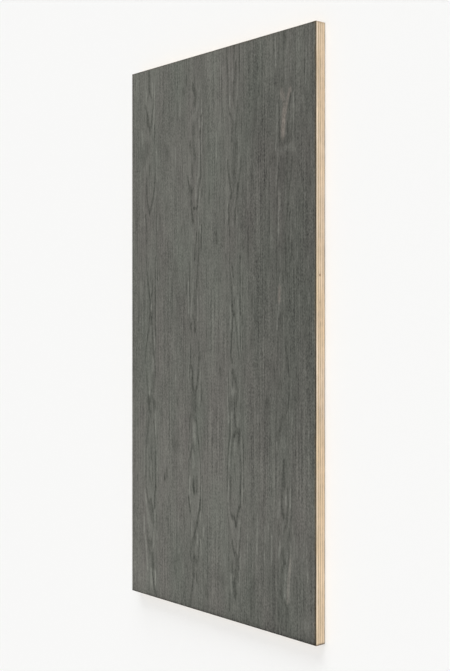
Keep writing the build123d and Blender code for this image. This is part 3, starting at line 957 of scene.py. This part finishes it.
@dataclass
class VeneerLayer:
    """One face of the panel: four leaves of veneer, laid side by side, edge to edge."""

    side: Side
    flitch: Flitch
    sheet: EasedSheet
    material: bpy.types.Material
    column: float = 1.25 * MM  # between grid lines across the grain
    row: float = 3.2 * MM  # and along it
    leaves: int = 4
    ring_depth: float = 0.06 * MM  # the soft earlywood is sanded and brushed that far down
    fibre_depth: float = 0.02 * MM
    joint_depth: float = 0.04 * MM  # the leaves' edges are eased where they meet
    joint_width: float = 0.8 * MM
    least_wall: float = 0.01 * MM  # a joint's wall that is lower is left out, at the rims
    rim_lines: int = 4  # grid lines where a face rounds over
    beside_rim: tuple[float, ...] = (1.0 * MM, 2.2 * MM, 3.8 * MM)  # those next to it, on the flat
    # How wide the stain has browned the right-hand arris and the others, in millimetres, and how
    # far it covers there
    arris_bands: tuple[float, float] = (2.9, 1.5)
    arris_cover: tuple[float, float] = (1.0, 0.4)
    arris_start: float = 0.4  # how far in it begins to fade
    right_edge: float = 600.0  # from where an arris counts as the right-hand one
    # Where the show side, the walls and the glued side lie across the bake map, and all along it
    show_strip: tuple[float, float] = (0.004, 0.904)
    wall_strips: tuple[tuple[float, float], ...] = ((0.912, 0.92), (0.926, 0.934))
    glued_strip: tuple[float, float] = (0.94, 0.996)
    map_length: tuple[float, float] = (0.004, 0.996)

    def grid_lines(self, low: float, high: float, flat: float, step: float) -> Array:
        """Places of the grid lines between two edges of a leaf.

        Args:
            low: the leaf's lower edge.
            high: its upper edge.
            flat: how far from the middle the panel's face stays flat.
            step: the distance between lines on the flat.

        Returns:
            The places in order, closer together where the face rounds over and just inside it.
        """
        rim_angle = math.asin(self.sheet.reach(self.sheet.glue_height) / self.sheet.arris)
        turns = np.arange(1, self.rim_lines + 1) / self.rim_lines
        rim, near = self.sheet.arris * np.sin(turns * rim_angle), np.array(self.beside_rim)
        start, end = max(low, -flat), min(high, flat)
        before, after = [], []
        if low < -flat:
            before = [-flat - rim[::-1], [-flat], -flat + near[:-1]]
            start += near[-1]
        if high > flat:
            after = [flat - near[:-1][::-1], [flat], flat + rim]
            end -= near[-1]
        inner = np.linspace(start, end, round((end - start) / step) + 1)
        return np.concatenate([*before, inner, *after])

    def grid(self, low: Vector, high: Vector) -> tuple[Array, Array, Array]:
        """Lays a leaf's grid, rounded where it reaches a corner of the panel.

        Args:
            low: the lowest corner of the leaf's CAD node.
            high: its highest corner.

        Returns:
            The points' x and y, and how far out each is from the face's flat part.
        """
        flat_x, flat_y = self.sheet.flat_half_width, self.sheet.flat_half_length
        xs = self.grid_lines(low.x, high.x, flat_x, self.column)
        ys = self.grid_lines(low.y, high.y, flat_y, self.row)
        grid_x, grid_y = np.meshgrid(xs, ys, indexing="ij")
        rim = self.sheet.reach(self.sheet.glue_height)
        out_x = np.maximum(np.abs(grid_x) - flat_x, 0) / rim
        out_y = np.maximum(np.abs(grid_y) - flat_y, 0) / rim
        round_x = out_x * np.sqrt(1 - out_y**2 / 2) * rim
        round_y = out_y * np.sqrt(1 - out_x**2 / 2) * rim
        x = np.where(out_x > 0, np.sign(grid_x) * (flat_x + round_x), grid_x)
        y = np.where(out_y > 0, np.sign(grid_y) * (flat_y + round_y), grid_y)
        return x, y, np.hypot(round_x, round_y)

    def leaf(self, number: int) -> bpy.types.Object:
        """Builds one leaf.

        Args:
            number: which one, from 1 at the left.

        Returns:
            The leaf's object.
        """
        node = f"{self.side.value}_leaf_{number}"
        low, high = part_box(node)
        sheet, seed = self.sheet, self.flitch.seed
        x, y, out = self.grid(low, high)
        u, v = (x + sheet.width / 2) / MM, (sheet.length / 2 - y) / MM
        marks, near = self.flitch.marks(number - 1, u, v)
        bare = self.flitch.unstained(u, v)
        fibres = 0.5 + 0.5 * drift(u, v, (3.2, 70), seed + 7)
        sunk = self.ring_depth * np.clip(-marks, 0, 1) + self.fibre_depth * fibres
        for joint in (low.x, high.x):
            if abs(joint) < sheet.flat_half_width:
                beside = np.exp(-np.abs(x - joint) / self.joint_width)
                sunk = np.maximum(sunk, self.joint_depth * beside)
        on_face = 1 - np.clip(out / sheet.reach(sheet.glue_height), 0, 1)
        z = sheet.thickness - sheet.face_drop(out) - sunk * on_face
        inside = np.minimum(sheet.width / 2 - np.abs(x), sheet.length / 2 - np.abs(y)) / MM
        right = u > self.right_edge
        band = np.where(right, *self.arris_bands) * (1 + 0.35 * drift(u, v, (30, 30), seed + 9))
        arris = hump(np.maximum(inside - self.arris_start, 0), band)
        arris *= (0.82 + 0.18 * drift(u, v, (11, 11), seed + 10)) * (1 - bare)
        arris *= np.where(right, *self.arris_cover)
        # The stain's tone, with painted shade over the right-hand leaves and along the near end
        tone = self.flitch.stain_and_painted_shade(u, v)
        values = {"figure": marks, "near": near, "bare": bare, "arris": arris, "tone": tone}
        shell = self.closed(f"{self.side.value}_veneer_{number}", x, y, z, values)
        return shell.piece(self.material, "stained_veneer", node)

    def closed(self, name: str, x: Array, y: Array, z: Array, values: dict[str, Array]) -> Shell:
        """Closes a leaf's show side with its joints' walls and its glued side.

        Args:
            name: the piece's name.
            x: the grid's places across the panel.
            y: its places along it.
            z: its heights, as for a face leaf.
            values: what each grid point carries.

        Returns:
            The leaf's shell, turned over where it is a back leaf.
        """
        (columns, rows), glued = x.shape, self.sheet.glue_height
        numbers = np.arange(columns * rows).reshape(columns, rows)
        places, taken = [np.stack([x, y, z], -1).reshape(-1, 3)], [numbers.ravel()]
        count, feet = columns * rows, []
        for column in (0, columns - 1):
            on_wall = z[column] > glued + self.least_wall
            foot = numbers[column].copy()
            foot[on_wall] = count + np.arange(on_wall.sum())
            count += int(on_wall.sum())
            feet.append(foot.tolist())
            places.append(np.stack([x[column], y[column], np.full(rows, glued)], -1)[on_wall])
            taken.append(numbers[column][on_wall])
        all_places, source = np.concatenate(places), np.concatenate(taken)
        back = self.side is Side.BACK
        if back:
            all_places[:, 2] = self.sheet.thickness - all_places[:, 2]
        shell = Shell(name, all_places, {k: w.ravel()[source] for k, w in values.items()}, back)
        across = progress(x[:, rows // 2], z[:, rows // 2])
        along = progress(y[columns // 2], z[columns // 2])
        show_u, glued_u = between(self.show_strip, across), between(self.glued_strip, across)
        map_v, number = between(self.map_length, along), numbers.tolist()
        for i, j in np.ndindex(columns - 1, rows - 1):
            quad = ((i, j), (i + 1, j), (i + 1, j + 1), (i, j + 1))
            ring = [(number[a][b], show_u[a], map_v[b]) for a, b in quad]
            if i in (0, columns - 2) and j in (0, rows - 2):
                # Split from the leaf's corner inwards, so that no edge is shared with the glued
                # side's triangles
                ring = ring[1:] + ring[:1] if (i > 0) != (j > 0) else ring
                shell.add(ring[:3])
                shell.add([ring[0], *ring[2:]])
            else:
                shell.add(ring)
        for top, foot, (near_u, far_u) in zip((number[0], number[-1]), feet, self.wall_strips):
            for j in range(rows - 1):
                ring = [(top[j + 1], far_u, map_v[j + 1]), (foot[j + 1], near_u, map_v[j + 1])]
                ring += [(foot[j], near_u, map_v[j]), (top[j], far_u, map_v[j])]
                shell.add(ring if top is number[0] else ring[::-1])
        left, right = feet
        for j in range(1, rows - 2):
            ring = [(left[k], glued_u[0], map_v[k]) for k in (j, j + 1)]
            shell.add(ring + [(right[k], glued_u[-1], map_v[k]) for k in (j + 1, j)])
        for end, inner in ((0, 1), (rows - 1, rows - 2)):
            ring = [(number[i][end], glued_u[i], map_v[end]) for i in range(columns)]
            ring += [(right[inner], glued_u[-1], map_v[inner])]
            ring += [(left[inner], glued_u[0], map_v[inner])]
            shell.add(ring[::-1] if end == 0 else ring)
        return shell

    def build(self) -> list[bpy.types.Object]:
        """Builds all the leaves."""
        return [self.leaf(number) for number in range(1, self.leaves + 1)]


@dataclass(frozen=True)
class Knot:
    """A pin knot or fleck that the saw cut through."""

    place: tuple[float, float, float]  # on the panel's edge, in millimetres
    radius: float
    depth: float  # of its colour, from 0 to 1


@dataclass
class PlyCore:
    """The seven plies between the veneers, with every other one's grain turned across."""

    sheet: EasedSheet
    materials: dict[GrainWay, bpy.types.Material]
    knots: tuple[Knot, ...] = (
        Knot((305, 114.3, 14.6), 2.1, 1.0),
        Knot((305, 60.5, 14.6), 1.6, 0.3),
    )
    # How pale each ply is drawn, from the back up: its own log's tone, and for the two lowest
    # lengthwise plies also painted light that lifts the shade near the floor
    tones: tuple[float, ...] = (1.05, 1.0, 1.04, 1.0, 0.92, 1.0, 1.02)
    plies: int = 7
    step: float = 5 * MM  # between columns round the edge
    close_step: float = 0.8 * MM  # between those beside a knot and a corner
    bends: int = 3  # columns round each corner
    strips: int = 24  # of the bake map, which the edge is cut into
    saw_depth: float = 0.07 * MM  # how deep the saw and the sander cut into the softer plies
    glue_depth: float = 0.05 * MM
    glue_rows: tuple[float, float] = (0.12 * MM, 0.4 * MM)  # where that dip rises, and ends
    glue_width: float = 0.16  # of a glue line's brown, in millimetres
    stained: tuple[float, float] = (1.45, 23.95)  # how far in the faces' stain crept, as heights
    corner_shade_width: float = 2.6  # of the painted shade at the panel's corners, in millimetres
    # Where the edge's strips and the two glued sides lie across the bake map
    edge_strip: tuple[float, float] = (0.26, 0.99)
    strip_height: tuple[float, float] = (0.06, 0.94)  # of each of the strips
    glued_strips: tuple[tuple[float, float], ...] = ((0.005, 0.12), (0.13, 0.245))
    glued_height: tuple[float, float] = (0.005, 0.995)

    def stations(self, run: float) -> Array:
        """Where the columns stand along a side, closer together beside a knot.

        Args:
            run: half the side's length.

        Returns:
            Their places from the side's middle, the same both ways from it.
        """
        places = np.linspace(-run, run, round(2 * run / self.step) + 1)
        if run < self.sheet.flat_half_length:
            return places
        close = self.close_step
        beside = [knot.place[1] * MM + n * close for knot in self.knots for n in range(-4, 5)]
        beside += [run - n * close for n in range(1, 5)]
        return np.unique(np.round(np.concatenate([places, beside, np.negative(beside)]), 7))

    def outline(self) -> tuple[Array, Array]:
        """The panel's outline as places to start from and directions to stand out in.

        Returns:
            For each point round the panel, from the near right corner anticlockwise, where its
            arris begins to round and the way that it faces.
        """
        half_x, half_y = self.sheet.flat_half_width, self.sheet.flat_half_length
        quarter_turn = math.pi / 2
        starts: list[Array] = []
        ways: list[Array] = []
        for quarter in range(4):
            angle = quarter * quarter_turn
            way = np.round([math.cos(angle), math.sin(angle)])
            side = np.array([-way[1], way[0]])
            reach, run = (half_x, half_y) if quarter % 2 == 0 else (half_y, half_x)
            for t in self.stations(run):
                starts.append(way * reach + side * t)
                ways.append(way)
            for turn in range(1, self.bends + 1):
                bend = angle + turn * quarter_turn / (self.bends + 1)
                starts.append(way * reach + side * run)
                ways.append(np.array([math.cos(bend), math.sin(bend)]))
        return np.array(starts), np.array(ways)

    def ply(self, number: int) -> bpy.types.Object:
        """Builds one ply.

        Args:
            number: which one, from 1 at the back.

        Returns:
            The ply's object.
        """
        node = f"core_ply_{number}"
        way = GrainWay.LENGTHWISE if number % 2 else GrainWay.CROSSWISE
        bottom, top = (corner.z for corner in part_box(node))
        starts, ways = self.outline()
        count = len(starts)
        dip, out = self.glue_rows
        heights = [bottom, bottom + dip, bottom + out, (bottom + top) / 2]
        heights += [top - out, top - dip, top]
        round_corner = 0.3 * self.sheet.arris  # about what the arris adds between two columns there
        steps = np.hypot(*(np.roll(starts, -1, 0) - starts).T) + round_corner
        travelled = np.concatenate([[0], np.cumsum(steps)]) / MM
        cut = ways[:, 1 if way is GrainWay.LENGTHWISE else 0] ** 2
        rows: list[dict[str, Array]] = []
        for z in heights:
            rough, slow, wander = (
                0.5 + 0.5 * drift(travelled[:-1], np.full(count, z / MM), cell, seed + number)
                for cell, seed in (((9, 1.3), 40), ((120, 9), 60), ((14, 5), 80))
            )
            glue = hump(min(z - bottom, top - z) / MM, self.glue_width)
            inward = self.saw_depth * (0.25 + 0.45 * cut) * (0.6 * rough + 0.4 * slow)
            inward = inward + self.glue_depth * glue
            at = starts + ways * (self.sheet.reach(z) - inward)[:, None]
            spots = np.zeros(count)
            for knot in self.knots:
                far = np.hypot(np.hypot(*(at / MM - knot.place[:2]).T), z / MM - knot.place[2])
                spots = np.maximum(spots, knot.depth * hump(far, knot.radius))
            crept = max(self.stained[0] - z / MM, z / MM - self.stained[1], 0)
            # Painted shade browns the panel's corner arrises, most at the near end, over the faces'
            # stain that crept round the rims
            inside = (np.abs(at).sum(1).max() - np.abs(at).sum(1)) / MM
            corner = np.where(at[:, 1] < 0, 1.1, 0.4) * hump(inside, self.corner_shade_width)
            stain_and_shade = np.maximum(2 * crept, corner) * (0.55 + 0.6 * wander)
            row = {"place": np.column_stack([at, np.full(count, z)]), "knot": spots}
            row |= {"cut_across": cut * (0.85 + 0.15 * slow), "glue": glue * (0.45 + 0.5 * wander)}
            row |= {"arris": np.clip(stain_and_shade, 0, 0.9), "tone": np.full(count, self.tones[number - 1])}
            rows.append(row)
        values = {name: np.concatenate([row[name] for row in rows]) for name in rows[0]}
        shell = Shell(f"ply_{number}", values.pop("place"), values)
        self.close(shell, np.array(heights), travelled, starts)
        return shell.piece(self.materials[way], f"{way.value}_grain_ply", node)

    def close(self, shell: Shell, heights: Array, travelled: Array, starts: Array) -> None:
        """Gives a ply its faces: the edge all round, and the two glued sides.

        Args:
            shell: the ply, with its vertices in rows from the bottom up.
            heights: the rows' heights.
            travelled: how far round the panel each point is, and last the whole way.
            starts: where each point's arris begins.
        """
        count, rows = len(starts), len(heights)
        per_strip = math.ceil(count / self.strips)
        begins = range(0, count, per_strip)
        longest = max(travelled[min(k + per_strip, count)] - travelled[k] for k in begins)
        up = between(self.strip_height, (heights - heights[0]) / (heights[-1] - heights[0]))
        for k in range(count):
            strip, after = k // per_strip, (k + 1) % count
            gone = travelled[k : k + 2] - travelled[strip * per_strip]
            near, far = between(self.edge_strip, gone / longest)
            for row in range(rows - 1):
                low, high = (strip + up[row : row + 2]) / self.strips
                here, above = row * count, (row + 1) * count
                ring = [(here + k, near, low), (here + after, far, low)]
                shell.add(ring + [(above + after, far, high), (above + k, near, high)])
        right = len(self.stations(self.sheet.flat_half_length))
        far_side = len(self.stations(self.sheet.flat_half_width))
        left = right + far_side + 2 * self.bends  # the left edge's first point, at its far end
        last = left + right - 1
        rings = [[k, k + 1, last - 1 - k, last - k] for k in range(right - 1)]
        rings += [list(range(right - 1, left + 1)), [*range(last, count), 0]]
        across = starts[:, 0] / self.sheet.width + 0.5
        along = between(self.glued_height, starts[:, 1] / self.sheet.length + 0.5)
        for base, glued_strip in zip((0, (rows - 1) * count), self.glued_strips):
            map_u = between(glued_strip, across)
            for ring in rings:
                corners = [(base + k, map_u[k], along[k]) for k in ring]
                shell.add(corners if base else corners[::-1])

    def build(self) -> list[bpy.types.Object]:
        """Builds all the plies."""
        return [self.ply(number) for number in range(1, self.plies + 1)]


@dataclass(frozen=True)
class Lamp:
    """A wide soft lamp, so far away that it lights everything alike."""

    name: str
    strength: float
    spread: float  # in degrees
    stands: tuple[float, float, float]  # the way to it

    def hang(self) -> None:
        """Hangs the lamp in the scene."""
        lamp = bpy.data.lights.new(self.name, "SUN")
        lamp.energy = self.strength
        lamp.angle = math.radians(self.spread)
        holder = bpy.data.objects.new(self.name, lamp)
        holder.rotation_euler = Vector(self.stands).to_track_quat("Z", "Y").to_euler()
        bpy.context.scene.collection.objects.link(holder)


@dataclass
class Studio:
    """A pale floor under an even sky, two wide soft lamps and the photograph's viewpoint."""

    floor_colour: str = "#f9f9f8"
    floor_roughness: float = 0.9  # backdrop paper has no gloss
    floor_specular: float = 0.1
    floor_size: float = 60.0
    backdrop: float = 0.94  # what the camera sees past the floor, as pale as the floor
    sky: float = 0.392  # the sky's plain level
    brighter: tuple[float, float, float] = (0.0, -0.12, 0.144)  # it is, near and overhead
    lamps: tuple[Lamp, ...] = (
        Lamp("overhead_lamp", 1.39, 40, (0.61, 0.0, 1.0)),
        # Draws the long shadow towards the near side
        Lamp("low_lamp", 1.22, 40, (0.12, 1.0, 0.36)),
    )
    eye: tuple[float, float, float] = (1.8327, 0.0119, 1.5705)
    looks_at: tuple[float, float, float] = (0.0322, 0.0078, 0.025)
    sensor: float = 36.0  # in millimetres, as the lens is
    lens: float = 59.634
    rise: float = -0.0092  # of the lens, in frame widths

    def floor(self) -> None:
        """Lays the floor of seamless backdrop paper, which is dull and white."""
        half = self.floor_size / 2
        mesh = bpy.data.meshes.new("floor")
        corners = [(-half, -half, 0), (half, -half, 0), (half, half, 0), (-half, half, 0)]
        mesh.from_pydata(corners, [], [(0, 1, 2, 3)])
        material, tree = empty_material("backdrop_paper")
        dull = {"Roughness": self.floor_roughness, "Specular IOR Level": self.floor_specular}
        close_surface(tree, {"Base Color": linear(self.floor_colour), **dull})
        mesh.materials.append(material)
        floor = bpy.data.objects.new("floor", mesh)
        bpy.context.scene.collection.objects.link(floor)

    def light(self) -> None:
        """Sets the sky and the lamps."""
        world = bpy.data.worlds.new("studio_sky")
        bpy.context.scene.world = world
        world.use_nodes = True
        tree = world.node_tree
        tree.nodes.clear()
        leans = {0: add_node(tree, "ShaderNodeTexCoord", output="Generated"), 1: self.brighter}
        rise = add_node(tree, VECTOR, {"operation": "DOT_PRODUCT"}, leans, "Value")
        strength = add_node(tree, MATH, {"operation": "ADD"}, {0: rise, 1: self.sky})
        seen = add_node(tree, "ShaderNodeLightPath", output="Is Camera Ray")
        shown = {0: seen, 2: strength, 3: self.backdrop}
        level = add_node(tree, MIX, {"data_type": "FLOAT"}, shown)
        white = {"Color": (1.0, 1.0, 1.0, 1.0), "Strength": level}
        sky = add_node(tree, "ShaderNodeBackground", inputs=white)
        add_node(tree, "ShaderNodeOutputWorld", inputs={"Surface": sky})
        for lamp in self.lamps:
            lamp.hang()

    def camera(self) -> None:
        """Sets the camera at the photograph's viewpoint, with the panel's length upright."""
        lens = bpy.data.cameras.new("camera")
        lens.sensor_width = self.sensor
        lens.lens = self.lens
        lens.shift_y = self.rise
        camera = bpy.data.objects.new("camera", lens)
        back = (Vector(self.eye) - Vector(self.looks_at)).normalized()
        right = Vector((0, 1, 0)).cross(back).normalized()
        turn = Matrix((right, back.cross(right), back)).transposed()
        camera.matrix_world = Matrix.Translation(self.eye) @ turn.to_4x4()
        bpy.context.scene.collection.objects.link(camera)
        bpy.context.scene.camera = camera

    def build(self) -> None:
        """Sets up the floor, the light and the camera."""
        self.floor()
        self.light()
        self.camera()
        bpy.context.scene.view_settings.view_transform = "Standard"


def main() -> None:
    """Builds the studio and the panel's pieces."""
    logging.basicConfig(level=logging.INFO, format="%(name)s: %(message)s")
    Studio().build()
    sheet = EasedSheet()
    veneer = StainedAshVeneer().build()
    PlyCore(sheet, {way: SandedPlyEdge(way).build() for way in GrainWay}).build()
    VeneerLayer(Side.FACE, Flitch(FIGURE, BARE_WOOD, seed=11), sheet, veneer).build()
    back = Flitch(FIGURE, (), seed=23)
    VeneerLayer(Side.BACK, back, sheet, veneer, column=2.5 * MM, row=7 * MM).build()


if __name__ == "__main__":
    main()
